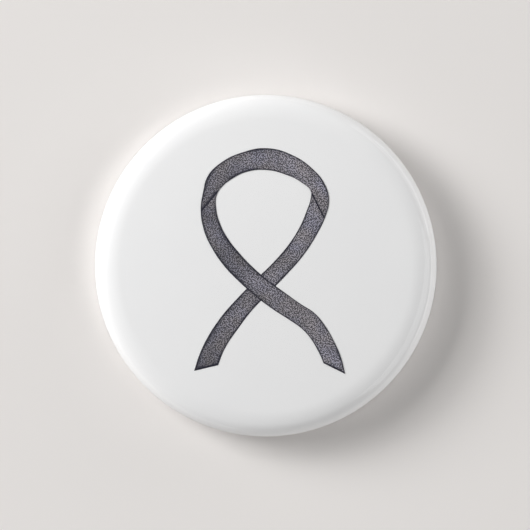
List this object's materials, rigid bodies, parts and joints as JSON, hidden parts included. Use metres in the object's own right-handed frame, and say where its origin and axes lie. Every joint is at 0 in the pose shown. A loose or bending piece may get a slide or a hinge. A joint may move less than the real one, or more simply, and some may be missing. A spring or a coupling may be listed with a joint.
{
  "type": "pin-back button badge with an awareness ribbon print",
  "caption": "Round domed button badge with a rolled rim, a looped ribbon printed under clear film, and a bent wire pin that hooks shut across its dished metal back.",
  "frame": {"origin": "on the badge's axis, in the plane of the rolled rim that it rests on", "axes": "+Z out through the printed face, +Y towards the top of the ribbon's loop, +X to the right as the face is read"},
  "size_m": [0.0318, 0.0318, 0.0046],
  "materials": {
    "clear_film": "clear, very glossy",
    "ribbon_ink": "fine speckled grey print with dark outlines",
    "white_paper": "smooth white print paper",
    "tinplate": "rolled tinplate, semi-bright",
    "pin_steel": "nickel-plated spring wire, bright"
  },
  "bodies": {
    "root": {"clear_film": "clear_film", "ribbon_print": "ribbon_ink", "printed_paper": "white_paper", "front_shell": "tinplate", "back_plate": "tinplate", "pin_wire": "pin_steel"}
  },
  "joints": []
}
